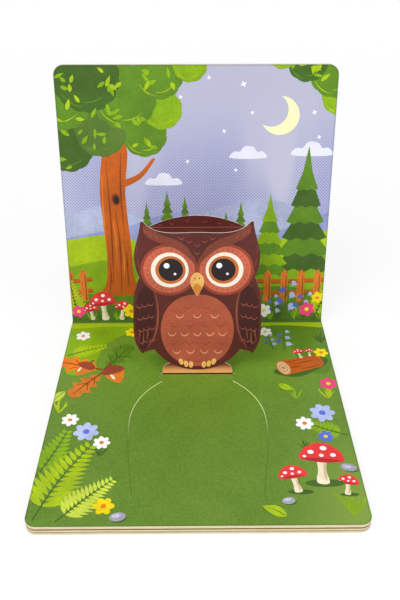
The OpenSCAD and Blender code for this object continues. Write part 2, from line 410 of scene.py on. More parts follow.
def clip_polygon(points, outline):
    """The part of a convex polygon inside a convex outline that runs counter-clockwise."""
    kept = points
    for (ax, ay), (bx, by) in zip(outline, outline[1:] + outline[:1]):
        def inside(p):
            return (bx - ax) * (p[1] - ay) - (by - ay) * (p[0] - ax)
        cut = []
        for p, q in zip(kept, kept[1:] + kept[:1]):
            sp, sq = inside(p), inside(q)
            if sp >= 0:
                cut.append(p)
            if sp * sq < 0:
                t = sp / (sp - sq)
                cut.append((p[0] + t * (q[0] - p[0]), p[1] + t * (q[1] - p[1])))
        kept = cut
        if len(kept) < 3:
            return []
    return kept


class Sheet:
    """The print on one face: flat shapes in millimetres, one piece for each ink.

    Shapes are laid in order, so a later one covers an earlier one."""

    def __init__(self, name, matrix, body, slot, outline=None):
        self.name, self.matrix, self.body, self.slot = name, matrix, body, slot
        self.outline = outline
        self.laid = []
        self.films = {}

    def height(self, colour, points):
        """The top of a new shape, above whatever its bounding box meets."""
        xs, ys = [x for x, y in points], [y for x, y in points]
        left, right, low, high = min(xs), max(xs), min(ys), max(ys)
        met = [(other, level, hair) for other, a, b, c, d, level, hair in self.laid
               if left < b and a < right and low < d and c < high]
        level = max((level + (other != colour) for other, level, hair in met), default=0)
        hair = max((hair + 1 for other, at, hair in met if other == colour and at == level), default=0)
        self.laid.append((colour, left, right, low, high, level, hair))
        return FILM + LEVEL * level + HAIR * min(hair, MOST_HAIRS)

    def lay(self, colour, points):
        verts, faces = self.films.setdefault(colour, ([], []))
        top = self.height(colour, points)
        index, caps = {}, []
        for triangle in tessellate_polygon([[Vector((x, y, 0)) for x, y in points]]):
            corners = [tuple(points[i]) for i in triangle]
            (ax, ay), (bx, by), (cx, cy) = corners
            area = (bx - ax) * (cy - ay) - (by - ay) * (cx - ax)
            if abs(area) < SLIVER_AREA:
                continue
            if area < 0:
                corners.reverse()
            if self.outline:
                corners = clip_polygon(corners, self.outline)
            ring = []
            for x, y in corners:
                corner = index.setdefault((round(x, 4), round(y, 4)), len(index))
                if corner not in ring:
                    ring.append(corner)
            if len(ring) > 2:
                caps.append(ring)
        start, n = len(verts), len(index)
        for z in (top, 0.0):
            verts.extend(self.matrix @ (Vector((x, y, z)) * MM) for x, y in index)
        sides = {(a, b) for ring in caps for a, b in zip(ring, ring[1:] + ring[:1])}
        for ring in caps:
            faces.append([start + i for i in ring])
            faces.append([start + n + i for i in reversed(ring)])
        for a, b in sorted(sides):
            if (b, a) not in sides:
                faces.append([start + b, start + a, start + n + a, start + n + b])

    def finish(self):
        for colour, (verts, faces) in sorted(self.films.items()):
            if not faces:
                continue
            mesh = bpy.data.meshes.new(f"{self.name}_{colour}")
            mesh.from_pydata(verts, [], faces)
            mesh.validate()
            mesh.materials.append(ink(colour))
            piece = add_object(mesh.name, mesh)
            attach(piece, self.body)


def around(x, y, r, a):
    """The point at a distance r from a middle, at an angle in radians."""
    return x + r * math.cos(a), y + r * math.sin(a)


def ellipse(x, y, rx, ry=None, turn=0.0, n=28):
    ry = rx if ry is None else ry
    c, s = math.cos(math.radians(turn)), math.sin(math.radians(turn))
    ring = []
    for i in range(n):
        a = 2 * math.pi * i / n
        px, py = rx * math.cos(a), ry * math.sin(a)
        ring.append((x + px * c - py * s, y + px * s + py * c))
    return ring


def crescent(x, y, r, toward, shift, bite):
    """A disc of radius r less another of radius bite, whose middle lies shift away."""
    n = 24
    outer = math.acos((shift ** 2 + r ** 2 - bite ** 2) / (2 * shift * r))
    inner = math.acos((shift ** 2 + bite ** 2 - r ** 2) / (2 * shift * bite))
    way = math.radians(toward)
    bx, by = around(x, y, shift, way)
    ring = []
    for i in range(n + 1):
        a = way + outer + (2 * math.pi - 2 * outer) * i / n
        ring.append(around(x, y, r, a))
    for i in range(1, n):
        a = way + math.pi + inner - 2 * inner * i / n
        ring.append(around(bx, by, bite, a))
    return ring


def oblong(left, low, right, high):
    return [(left, low), (right, low), (right, high), (left, high)]


def placed(points, x, y, turn=0.0, size=1.0):
    c, s = math.cos(math.radians(turn)), math.sin(math.radians(turn))
    return [(x + size * (px * c - py * s), y + size * (px * s + py * c)) for px, py in points]


def stamp(sheet, x, y, turn, size=1.0):
    """A function that lays shapes drawn about the origin at one place of a sheet."""
    def lay(colour, shape):
        sheet.lay(colour, placed(shape, x, y, turn, size))
    return lay


def curve(points, steps):
    """A smooth path from the second point to the last but one, through those between them."""
    path = []
    for a, b, c, d in zip(points, points[1:], points[2:], points[3:]):
        for i in range(steps):
            t = i / steps
            path.append(tuple(
                0.5 * (2 * q + (r - p) * t + (2 * p - 5 * q + 4 * r - s) * t * t
                       + (3 * q - p - 3 * r + s) * t ** 3)
                for p, q, r, s in zip(a, b, c, d)))
    return path


def smooth(points, steps=6):
    """A smooth line through the points, from the first to the last."""
    return curve([points[0]] + list(points) + [points[-1]], steps) + [tuple(points[-1])]


def closed(points, steps=6):
    """A smooth closed outline through the points."""
    ring = list(points)
    return curve(ring[-1:] + ring + ring[:2], steps)


def ribbon(points, widths, steps=6):
    """A band along a curve, whose width runs evenly through the widths given."""
    path = smooth(points, steps)
    left, right = [], []
    for i, (x, y) in enumerate(path):
        ax, ay = path[max(i - 1, 0)]
        bx, by = path[min(i + 1, len(path) - 1)]
        run = math.hypot(bx - ax, by - ay) or 1.0
        nx, ny = -(by - ay) / run, (bx - ax) / run
        t = i / (len(path) - 1) * (len(widths) - 1)
        k = min(int(t), len(widths) - 2)
        half = (widths[k] + (widths[k + 1] - widths[k]) * (t - k)) / 2
        left.append((x + nx * half, y + ny * half))
        right.append((x - nx * half, y - ny * half))
    return left + right[::-1]


def leaf_shape(length, width, bend=0.0):
    """A pointed leaf from the origin to (0, length), with its middle bent to one side."""
    def middle(t):
        return bend * math.sin(math.pi * t), length * t
    n = 9
    half = [(math.sin(math.pi * (i / n) ** 0.8) * width / 2, i / n) for i in range(1, n)]
    right = [(middle(t)[0] + h, middle(t)[1]) for h, t in half]
    left = [(middle(t)[0] - h, middle(t)[1]) for h, t in reversed(half)]
    return [(0, 0)] + right + [(0, length)] + left


def leaf(sheet, x, y, length, width, turn, colour, vein=None, bend=0.0):
    part = stamp(sheet, x, y, turn)
    part(colour, leaf_shape(length, width, bend))
    if vein:
        part(vein, ribbon([(0, length * 0.06), (bend, length * 0.5), (0, length * 0.92)], [0.5, 0.2]))


def flower(sheet, x, y, r, petals, colour, middle, turn):
    for i in range(petals):
        shape = ellipse(0, 0.62 * r, 2.1 * r / petals, 0.42 * r, 0, 18)
        sheet.lay(colour, placed(shape, x, y, turn + 360 * i / petals))
    sheet.lay(middle, ellipse(x, y, 0.27 * r, n=18))


def toadstool(sheet, x, y, size, turn):
    """A spotted cap on a pale stem, size tall."""
    part = stamp(sheet, x, y, turn, size)
    part("stem_cream", closed([(-0.10, 0), (-0.075, 0.3), (-0.085, 0.62), (0.085, 0.62),
                               (0.075, 0.3), (0.12, 0)]))
    part("stem_shade", ribbon([(0.07, 0.06), (0.045, 0.3), (0.055, 0.5)], [0.05, 0.05]))
    part("red", closed([(-0.42, 0.56), (-0.36, 0.78), (-0.18, 0.95), (0.02, 1.0), (0.22, 0.93),
                        (0.38, 0.76), (0.42, 0.56), (0.2, 0.52), (-0.2, 0.52)]))
    part("red_dark", closed([(-0.36, 0.56), (0.0, 0.60), (0.36, 0.56), (0.0, 0.49)]))
    for px, py, r in ((-0.2, 0.74, 0.06), (0.04, 0.86, 0.065), (0.22, 0.70, 0.055),
                      (0.0, 0.67, 0.045), (-0.32, 0.62, 0.035)):
        part("white", ellipse(px, py, r, r * 0.85, n=18))


def fern(sheet, x, y, length, turn, colour, line, pairs, bend):
    """A frond with leaflets in pairs that shorten to its tip."""
    def at(t):
        return bend * length * t * t, length * t
    part = stamp(sheet, x, y, turn)
    for i in range(pairs):
        t = 0.16 + 0.8 * i / pairs
        size = length * (0.32 * (1 - t) + 0.05) * min(1, 0.45 + 2 * t)
        lean = math.degrees(math.atan(2 * bend * t))
        blade = leaf_shape(size, 0.86 * length / pairs * (1 - 0.4 * t))
        for side in (-1, 1):
            part(colour, placed(blade, *at(t), side * -60 - lean))
    part(line, ribbon([at(0), at(0.5), at(1)], [0.9, 0.25]))


def tuft(sheet, x, y, height, blades, colour, seed, spread=38):
    """Blades of grass in a fan, each a little different."""
    rng = random.Random(seed)
    for i in range(blades):
        fan = 2 * (i + 0.5) / blades - 1
        tall = height * rng.uniform(0.65, 1.0) * (1 - 0.2 * abs(fan))
        blade = leaf_shape(tall, tall * 0.11, bend=rng.uniform(-0.06, 0.06) * tall)
        root, lean = x + rng.uniform(-0.6, 0.6), -spread * fan + rng.uniform(-5, 5)
        sheet.lay(colour, placed(blade, root, y, lean))


def bellflower(sheet, x, y, height, turn):
    """A stem with hanging blue bells on alternate sides."""
    part = stamp(sheet, x, y, turn)
    part("moss", ribbon([(0, 0), (height * 0.05, height * 0.5), (height * 0.16, height)], [1.0, 0.5]))
    bell = closed([(0, 0), (-0.42, -0.35), (-0.46, -0.85), (-0.62, -1.1), (-0.22, -1.0),
                   (0, -1.15), (0.22, -1.0), (0.62, -1.1), (0.46, -0.85), (0.42, -0.35)], 3)
    for i in range(5):
        t = 0.95 - 0.14 * i
        side = 1 if i % 2 == 0 else -1
        px, py = height * 0.16 * t * t, height * t
        size = height * (0.12 + 0.012 * i)
        tip = (px + side * size * 0.75, py + size * 0.15)
        part("moss", ribbon([(px, py), ((px + tip[0]) / 2, py + size * 0.35), tip], [0.5, 0.4]))
        part("blue" if i % 2 else "blue_pale", placed(bell, *tip, side * 14, size))


def trunk(sheet, x, y, half, low, high):
    sheet.lay("bark", [(x - half, y - low), (x + half, y - low), (x + half * 0.6, y + high),
                       (x - half * 0.6, y + high)])
    shadow = [(x + half * 0.3, y - low), (x + half * 0.2, y + high)]
    sheet.lay("bark_dark", ribbon(shadow, [half * 0.35, 0.3]))


def conifer(sheet, x, y, height, width, tiers, tones):
    """A fir in tiers that drop to points at both sides."""
    trunk(sheet, x, y, width * 0.06, height * 0.14, height * 0.15)
    for i in range(tiers):
        low = y + height * 0.80 * i / tiers
        top = min(y + height, low + height * 0.42)
        half = width / 2 * (1 - 0.78 * i / tiers)
        up, down = low + half * 0.04, low - half * 0.11
        skirt = [(-half, up), (-half * 0.62, down), (-half * 0.30, up), (0, down),
                 (half * 0.32, up), (half * 0.64, down), (half, up)]
        middle = low + (top - low) * 0.42
        sides = [(half * 0.42, middle), (0, top), (-half * 0.42, middle)]
        sheet.lay(tones[i % len(tones)], [(x + px, py) for px, py in skirt + sides])


def crown(sheet, lobes, tones):
    """A leafy crown of round lobes with scalloped edges and a few strokes of light."""
    for i, (x, y, r) in enumerate(lobes):
        ring = []
        bumps = max(9, int(r * 0.7))
        n = bumps * 6
        for k in range(n):
            a = 2 * math.pi * k / n
            swell = r * (0.955 + 0.045 * abs(math.sin(a * bumps / 2)))
            ring.append(around(x, y, swell, a))
        sheet.lay(tones[i % len(tones)], ring)
        tone = "leaf" if tones[i % len(tones)] in ("leaf_dark", "moss") else "lime"
        for start, reach in ((205, 0.84), (262, 0.7)):
            arc = [around(x, y, r * reach, math.radians(start + 14 * k)) for k in range(5)]
            sheet.lay(tone, ribbon(arc, [0.15, 0.7, 0.15], 3))


def fence(sheet, x_low, x_high, y, posts):
    """Two rails and pointed posts."""
    middle = (x_low + x_high) / 2
    for rail, sag in ((y + 8, 0.9), (y + 16.5, 0.5)):
        for drop, width, colour in ((0, 3.2, "bark"), (1.3, 0.7, "bark_dark")):
            path = [(x_low, rail - drop), (middle, rail - sag - drop), (x_high, rail + 0.8 - drop)]
            sheet.lay(colour, ribbon(path, [width, width]))
    for i in range(posts):
        x = x_low + (x_high - x_low) * (i + 0.35) / posts
        sheet.lay("bark_light", [(x - 2.7, y), (x + 2.7, y), (x + 2.5, y + 21.5), (x + 0.2, y + 25.5),
                                 (x - 2.5, y + 22)])
        sheet.lay("bark_dark", ribbon([(x + 1.5, y + 1), (x + 1.3, y + 20.5)], [1.0, 0.5]))
        sheet.lay("bark", ribbon([(x - 0.6, y + 6), (x - 0.8, y + 15)], [0.3, 0.6]))


def log(sheet, x, y, length, r, turn):
    """A cut log on its side, with rings at its near end."""
    part = stamp(sheet, x, y, turn)
    part("bark", [(0, -r), (length, -0.86 * r), (length + 0.35 * r, -0.5 * r),
                  (length + 0.42 * r, 0.1 * r), (length + 0.3 * r, 0.6 * r), (length, 0.86 * r), (0, r)])
    for k, (low, high) in enumerate(((0.12, 0.62), (0.3, 0.9), (0.16, 0.5), (0.45, 0.96))):
        h = r * (0.68 - 0.42 * k)
        crack = [(length * low, h), (length * (low + high) / 2, h - 0.4), (length * high, h)]
        part("bark_dark", ribbon(crack, [0.3, 1.0, 0.3]))
    for k, size in enumerate((1.0, 0.84, 0.6, 0.48, 0.22)):
        part("stem_shade" if k % 2 else "bark_light", ellipse(0, 0, 0.6 * r * size, r * size))


def acorn(sheet, x, y, size, turn):
    part = stamp(sheet, x, y, turn, size)
    part("bark_light", closed([(-0.30, 0.02), (-0.27, -0.32), (0, -0.64), (0.27, -0.32), (0.30, 0.02)]))
    part("stem_cream", ellipse(-0.12, -0.26, 0.05, 0.15, 8, 14))
    part("disc", closed([(-0.37, -0.04), (-0.33, 0.2), (0, 0.34), (0.33, 0.2), (0.37, -0.04),
                         (0, -0.12)]))
    part("disc", ribbon([(0, 0.28), (0.04, 0.52)], [0.09, 0.12]))


def oak_leaf(sheet, x, y, size, turn, colour, vein):
    """A leaf with round lobes in pairs."""
    part = stamp(sheet, x, y, turn, size)
    edge = [(0.03, 0.02), (0.16, 0.14), (0.10, 0.24), (0.27, 0.36), (0.14, 0.47), (0.30, 0.60),
            (0.15, 0.70), (0.19, 0.85), (0.07, 0.97)]
    part(colour, closed([(0, 0)] + edge + [(-px, py) for px, py in reversed(edge)], 4))
    part(vein, ribbon([(0, -0.12), (0.01, 0.4), (0, 0.88)], [0.05, 0.02]))
    for t in (0.22, 0.46):
        for side in (-1, 1):
            part(vein, ribbon([(0, t - 0.06), (side * 0.17, t + 0.13)], [0.03, 0.015], 2))


def hill(sheet, colour, crest):
    """Ground below a smooth crest line that crosses the page."""
    foot = -4.0
    sheet.lay(colour, smooth(crest, 8) + [(crest[-1][0], foot), (crest[0][0], foot)])


def board_outline(v_low, v_high):
    """The outline of a board's print, counter-clockwise, rounded at the end away from the fold."""
    half, r = PAGE / 2 - TRIM, CORNER_R - TRIM
    if abs(v_high) > abs(v_low):
        v_high -= TRIM
        rounds = [(half - r, v_high - r, 0), (r - half, v_high - r, 90)]
        square = [(-half, v_low), (half, v_low)]
    else:
        v_low += TRIM
        rounds = [(r - half, v_low + r, 180), (half - r, v_low + r, 270)]
        square = [(half, v_high), (-half, v_high)]
    steps = 8
    return [around(x, y, r, math.radians(start + 90 / steps * i))
            for x, y, start in rounds for i in range(steps + 1)] + square


def plant(draw, sheet, rows):
    """Draws one thing for each row of its values."""
    for row in rows:
        draw(sheet, *row)


def sky(s):
    """Moon, stars and clouds, with the middle of the sky left bare."""
    s.lay("moon", crescent(54, 148, 12.5, 147, 6.6, 10.8))
    for x, y, r in ((30, 168, 1.4), (36, 150, 1.0), (76, 150, 1.2), (8, 172, 1.0), (80, 134, 1.1),
                    (18, 138, 1.0), (-10, 160, 1.0), (-22, 140, 0.9), (-6, 118, 1.0), (26, 112, 1.0)):
        radii = [r * 1.6 * (1 if k % 2 == 0 else 0.38) for k in range(8)]
        star = [around(0, 0, a, math.pi * k / 4 + 0.4) for k, a in enumerate(radii)]
        s.lay("white", placed(star, x, y))
    puffs = closed([(-15, -2), (-12, 3), (-7, 3.2), (-3, 7.5), (4, 7), (7.5, 3), (12, 3.2),
                    (15, -2), (0, -3)])
    for x, y, size in ((34, 122, 0.8), (-22, 104, 0.8), (76, 124, 0.9)):
        s.lay("cloud", placed(puffs, x, y, 0, size))


def leafy_tree(s):
    """A tall tree with its crown in the upper left corner, and leaves that hang in at the right."""
    s.lay("bark", closed([(-72, 18), (-64, 30), (-62.5, 60), (-65, 96), (-60, 128), (-46, 128),
                          (-48, 96), (-45.5, 60), (-43.5, 32), (-34, 18), (-48, 14), (-60, 14)], 5))
    s.lay("bark", ribbon([(-51, 102), (-38, 108), (-28, 120)], [5.5, 3.4, 1.8]))
    dark = ([(-59, 28), (-58.5, 70), (-60, 118)], [(-53.5, 22), (-53, 56), (-55, 84)],
            [(-49.5, 66), (-51, 96), (-50, 124)], [(-62, 22), (-60.4, 34), (-60.6, 46)],
            [(-48, 26), (-48.8, 44), (-48.6, 54)])
    light = ([(-62.2, 52), (-63.4, 80), (-63, 108)], [(-55.8, 44), (-55.8, 62), (-57, 78)],
             [(-51, 34), (-50.8, 48), (-51.6, 60)])
    for colour, width, paths in (("bark_dark", 1.2, dark), ("bark_light", 1.5, light)):
        for path in paths:
            s.lay(colour, ribbon(path, [0.3, width, 0.3]))
    s.lay("bark_dark", ellipse(-54.5, 92, 2.8, 4.2, 6))
    s.lay("pupil", ellipse(-54.3, 91.6, 1.7, 2.9, 6))
    lobes = [(-84, 128, 17), (-34, 136, 15), (-62, 138, 17), (-88, 160, 22), (-22, 152, 13),
             (-46, 160, 21), (-70, 172, 22), (-24, 174, 16), (-4, 180, 11)]
    crown(s, lobes, ["leaf_dark", "leaf", "moss", "leaf", "leaf_bright", "leaf", "leaf_dark", "leaf",
                     "leaf_bright"])
    hanging = [(92, 160, 12), (88, 176, 17), (70, 182, 13), (54, 186, 9)]
    crown(s, hanging, ["leaf_bright", "leaf", "leaf_dark", "leaf_bright"])
    rng = random.Random(5)
    for x, y, r in lobes[:4] + lobes[5:8] + hanging[1:3]:
        for _ in range(7):
            a, d = rng.uniform(0, 360), 0.8 * r * math.sqrt(rng.uniform(0.05, 0.95))
            place = around(x, y, d, math.radians(a))
            leaf(s, *place, rng.uniform(4.5, 7.5), rng.uniform(2, 3), rng.uniform(0, 360),
                 rng.choice(["leaf_bright", "lime", "leaf_bright"]))


def upright_picture():
    """A glade at dusk: far hills, a leafy tree, firs behind a fence and plants along the fold."""
    s = Sheet("upright_print", UPRIGHT, "page_block", "page_board", board_outline(0.05, PAGE))
    sky(s)
    hill(s, "hill_mist", [(-92, 78), (-60, 88), (-25, 74), (10, 84), (48, 92), (92, 76)])
    hill(s, "hill_far", [(-92, 64), (-50, 72), (-12, 82), (30, 66), (66, 72), (92, 84)])
    for x, y, height, width in ((-20, 72, 26, 12), (-8, 74, 20, 9), (30, 66, 24, 11), (20, 66, 17, 8),
                                (-34, 70, 20, 9)):
        conifer(s, x, y, height, width, 4, ["moss", "leaf"])
    hill(s, "lime", [(-92, 62), (-58, 66), (-20, 54), (18, 50), (56, 62), (92, 70)])
    hill(s, "leaf_bright", [(-92, 42), (-62, 48), (-30, 50), (6, 40), (40, 38), (92, 52)])
    conifer(s, 74, 40, 88, 42, 6, ["leaf_dark", "leaf"])
    conifer(s, 50, 36, 60, 30, 6, ["leaf", "leaf_bright"])
    leafy_tree(s)
    hill(s, "leaf", [(-92, 24), (-50, 20), (-16, 29), (22, 25), (60, 27), (92, 22)])
    fence(s, 34, 93, 15, 5)
    fence(s, -93, -74, 16, 2)

    # Plants along the fold
    hill(s, "moss", [(-92, 12), (-70, 15), (-40, 9), (0, 12), (38, 9), (70, 14), (92, 10)])
    first, pitch, count = -88, 6.1, 30
    for k, colour in enumerate(("leaf_dark", "moss", "leaf_bright")):
        for i in range(k, count, 3):
            height = 11 + 5 * math.sin(i * 1.9) ** 2
            tuft(s, first + pitch * i, 0.5, height, 5, colour, seed=40 + i, spread=30)
    for x, turn, length in ((-84, 16, 34), (-40, -14, 27), (84, -18, 36), (44, 20, 24)):
        fern(s, x, 1, length, turn, "lime" if abs(x) > 60 else "leaf_bright", "leaf_dark", 10, 0.1)
    plant(toadstool, s, ((-75, 1.5, 13, 10), (-54.5, 1.5, 15, -9), (-66, 1.5, 22, 6)))
    plant(bellflower, s, ((63, 1, 31, 4), (71, 1, 24, -10), (56, 1, 20, 14)))
    plant(flower, s, (
        (-47.5, 8, 5.4, 6, "yellow", "orange", 12), (79, 9, 5.6, 6, "pink", "yellow", 12),
        (48, 8, 5.2, 6, "white", "yellow", 12), (86, 18, 4.4, 6, "yellow", "orange", 12),
        (-85, 8, 4.8, 6, "pink", "yellow", 12)))
    s.finish()


def flat_picture():
    """A meadow seen from above the fold, left open in the middle where the owl folds down."""
    s = Sheet("flat_print", FLAT, "page_block", "page_board", board_outline(-PAGE, -SCORE - 0.4))
    for side in (-1, 1):
        bank = [(side * 91, -3), (side * 91, -40), (side * 84, -60), (side * 70, -54), (side * 64, -30),
                (side * 50, -16), (side * 30, -8), (side * 20, -3)]
        s.lay("leaf_bright" if side < 0 else "leaf", smooth(bank, 6))
    s.lay("lime", smooth([(-91, -3), (-91, -9), (-60, -7), (-30, -9), (0, -6), (30, -9), (60, -6),
                          (91, -9), (91, -3)], 6))
    plant(tuft, s, (
        (-85, -96, 17, 7, "lime", 1), (62, -84, 12, 6, "leaf_bright", 4),
        (82, -84, 15, 7, "lime", 3), (81, -174, 23, 6, "leaf_bright", 6),
        (-56, -132, 11, 6, "leaf_dark", 7), (62, -128, 12, 6, "leaf_dark", 8),
        (-52, -36, 11, 6, "leaf_dark", 9), (86, -28, 15, 6, "leaf_dark", 10)))
    ferns = ((-88, -40, 30, -64, "lime", 0.08), (88, -116, 30, 70, "leaf_bright", 0.1),
             (-89, -146, 40, -24, "leaf_bright", -0.1), (-86, -176, 62, -16, "lime", 0.16),
             (-74, -177, 42, -40, "lime_pale", 0.08))
    for x, y, length, turn, colour, bend in ferns:
        fern(s, x, y, length, turn, colour, "leaf_dark", 13 if length > 40 else 9, bend)
    for x, y, rx, ry, turn in ((-42, -174, 4.4, 2.8, 10), (84, -141, 4.6, 2.8, -14),
                               (48, -164, 3.6, 2.3, 8)):
        s.lay("leaf_dark", ellipse(x + 0.6, y - 0.8, rx, ry, turn))
        s.lay("stone", ellipse(x, y, rx, ry, turn))
        s.lay("stone_light", ellipse(x - rx * 0.2, y + ry * 0.25, rx * 0.55, ry * 0.4, turn))
    leaves = ((46, -174, 14, 6.4, 62, "lime"), (52, -70, 11, 5, -120, "lime"),
              (-84, -76, 13, 6, 150, "lime_pale"), (38, -20, 9, 4, -60, "lime"),
              (-34, -20, 10, 4.6, 70, "leaf_bright"))
    for x, y, length, width, turn, colour in leaves:
        leaf(s, x, y, length, width, turn, colour, "leaf_dark", 0.6)

    # A log with small toadstools at the far right, and larger ones at the near right
    plant(bellflower, s, ((60, -36, 24, 6), (52, -34, 17, 16)))
    s.lay("leaf_dark", closed([(50, -58), (66, -63), (86, -50), (84, -42), (66, -48)]))
    log(s, 57, -54, 25, 7.4, 17)
    plant(toadstool, s, ((70, -43.5, 10, 12), (76, -41.5, 8, -4)))
    for x, y, size, turn in ((54, -158, 19, 9), (80, -160, 14, -12), (68, -152, 30, -6)):
        s.lay("leaf_dark", ellipse(x + 1.2, y - 0.2, size * 0.36, size * 0.09))
        toadstool(s, x, y, size, turn)

    # Acorns on oak leaves at the far left
    plant(oak_leaf, s, (
        (-60, -52, 28, -32, "leaf", "leaf_dark"), (-66, -54, 30, 74, "orange", "bark_dark"),
        (-64, -60, 27, 142, "bark_light", "bark_dark")))
    plant(acorn, s, ((-74, -52, 16, -30), (-55, -57, 19, 24)))
    plant(flower, s, (
        (-66, -112, 7.4, 7, "blue_pale", "blue", 0), (-77, -102, 5.2, 7, "white", "orange", 20),
        (-56, -121, 5.0, 7, "white", "orange", 9), (76, -97, 7.6, 7, "blue_pale", "blue", 14),
        (64, -106, 5.4, 7, "white", "orange", 5), (84, -70, 5.6, 6, "pink", "yellow", 0),
        (-46, -14, 4.8, 6, "yellow", "orange", 15), (48, -14, 5.0, 6, "white", "yellow", 5),
        (-50, -167, 5.6, 6, "yellow", "orange", 30), (-80, -18, 5.0, 6, "white", "orange", 10),
        (75, -117, 4.6, 7, "blue", "yellow", 10), (84, -38, 4.8, 6, "yellow", "orange", 20)))
    s.finish()

    # Painted shade: a darker strip between the fold and the pressed score in front of it
    band = Sheet("fold_shade_band", FLAT, "page_block", "page_board")
    half = PAGE / 2 - TRIM
    band.lay("moss", oblong(-half, -SCORE + 0.3, half, -0.05))
    band.finish()


def scallop(x, y, r, width):
    """A small U-shaped stroke, as a feather's edge is drawn."""
    opening, steps = 160, 4
    path = []
    for i in range(steps + 1):
        a = math.radians(270 - opening / 2 + opening * i / steps)
        path.append((r * math.cos(a), r * 1.15 * math.sin(a)))
    return placed(ribbon(path, [width * 0.35, width, width * 0.35], 3), x, y)


def owl_side(s, side):
    """One half of the owl: wing, face disc, eye, brow and toes."""
    def part(colour, points):
        s.lay(colour, [(side * x, y) for x, y in points])
    part("wing", closed([(29.5, 63.5), (35.6, 60), (38.4, 51), (39.2, 42), (38.4, 30), (35.5, 18.6),
                         (31, 23), (27.4, 32), (26.2, 44), (26.8, 55)]))
    for row in range(4):
        for i in range(3):
            place = (29.4 + 3.4 * i - 0.25 * row, 52 - 8.4 * row - 0.8 * i)
            part("feather", scallop(*place, 1.9, 0.75))
    for x, low, high in ((31.4, 25.5, 33), (34.2, 21.5, 31), (36.6, 25, 33)):
        quill = [(x + 1.0, low), (x + 0.2, (low + high) / 2), (x, high)]
        part("feather", ribbon(quill, [0.3, 0.8, 0.3]))
    part("feather", ribbon([(27.2, 61.5), (25.0, 52), (24.9, 40), (27.0, 29), (31.5, 20.5)],
                           [0.3, 1.0, 1.0, 0.3]))

    # The face disc, its radiating lines and the eye
    ex, ey, spokes = 17.2, 74.0, 26
    part("disc", ellipse(ex, ey, 17.6, 17.2, 0, 56))
    part("disc_light", ellipse(ex, ey, 15.8, 15.4, 0, 56))
    for k in range(spokes):
        a = 2 * math.pi * k / spokes
        part("disc_line", ribbon([around(ex, ey, d, a) for d in (12.6, 14.9)], [0.8, 0.25], 2))
    part("eye_cream", ellipse(ex - 0.4, ey, 11.6, n=48))
    part("iris", ellipse(ex - 0.9, ey, 9.3, n=44))
    part("pupil", ellipse(ex - 1.1, ey + 0.1, 7.5, n=40))
    for x, y, r in ((-2.6, 2.9, 1.8), (2.5, -2.6, 0.8)):
        s.lay("white", ellipse(side * (ex - 1.1) + x, ey + y, r, n=24))

    # The brow up to the tuft, the cheek's feathers and the toes
    part("brow", closed([(0.6, 77.5), (4.6, 87.0), (12, 93.4), (22, 97.2), (31.6, 103.4),
                         (30.8, 96.4), (22, 91.4), (12, 87.6), (5.2, 82)], 5))
    for x, y, length, turn in ((27, 95.6, 5.4, -36), (23, 94.2, 4.6, -44), (30.6, 97.4, 4.6, -24)):
        part("feather", placed(leaf_shape(length, 1.0), x, y, turn))
    for k in range(3):
        part("brow", ribbon([(34.4 + 0.9 * k, 66 + 9 * k), (35.4 + 0.6 * k, 70 + 9 * k),
                             (35.4 + 0.5 * k, 74 + 8.2 * k)], [0.2, 0.7, 0.2]))
    for k, x in enumerate((4.2, 7.4, 10.6)):
        lift = 0.55 * k * k
        part("beak", ellipse(x, 7.2 + lift, 1.45, 2.4, -8 * k, 20))
        part("amber_dark", ribbon([(x + 0.5, 5.6 + lift), (x + 0.6, 7.6 + lift)], [0.35, 0.35]))


def owl_picture():
    """A plain barred owl: round face discs, large eyes, a small beak, folded wings and toes."""
    s = Sheet("owl_art", OWL, "page_block", "owl_card")
    s.lay("belly", closed([(0, 6.0), (10, 8.2), (19.5, 17), (23.2, 31), (20.5, 45), (12, 54.5),
                           (0, 57.5), (-12, 54.5), (-20.5, 45), (-23.2, 31), (-19.5, 17),
                           (-10, 8.2)]))
    rows = ((6, 2), (12, 3), (16, 4), (17.5, 5), (17, 4), (14.5, 4), (9, 3))
    for row, (reach, count) in enumerate(rows):
        for i in range(count):
            x = reach * (2 * i / (count - 1) - 1) * 0.92
            s.lay("belly_light" if row % 2 else "belly_dark", scallop(x, 50.5 - 6.4 * row, 2.5, 0.95))
    for side in (-1, 1):
        owl_side(s, side)
    for x, y in ((0, 90.6), (-4.6, 93.0), (4.6, 93.0), (0, 85.4), (-9.4, 95.0), (9.4, 95.0)):
        s.lay("feather", scallop(x, y + 0.8, 1.5, 0.65))
    s.lay("beak", closed([(0, 72.5), (3.6, 69.6), (4.2, 65), (2.4, 60.4), (0, 56.6), (-2.4, 60.4),
                          (-4.2, 65), (-3.6, 69.6)], 5))
    s.lay("amber_dark", closed([(0, 65), (2.6, 62.2), (1.6, 59), (0, 56.9), (-1.6, 59),
                                (-2.6, 62.2)], 5))
    for side in (-1, 1):
        s.lay("belly_dark", ellipse(side * 1.4, 68.4, 0.42, 0.75, side * -20, 12))
    s.finish()


def dome_picture():
    """Short feather strokes on the tab behind the owl's head and a painted highlight along its fold."""
    s = Sheet("dome_art", DOME, "page_block", "strip_card")
    for x, y, r in ((-17, 3.4, 1.4), (-6.5, 5.6, 1.5), (5.5, 4.8, 1.5), (15.5, 3.6, 1.4),
                    (-25, 2.2, 1.0), (24, 2.2, 1.0)):
        s.lay("feather", scallop(x, y + 0.9, r, 0.65))
    half = ROOF_W / 2 - 0.4
    # A painted highlight in a light line along the fold
    s.lay("crease", oblong(-half, 0.35, half, 0.7))
    s.finish()


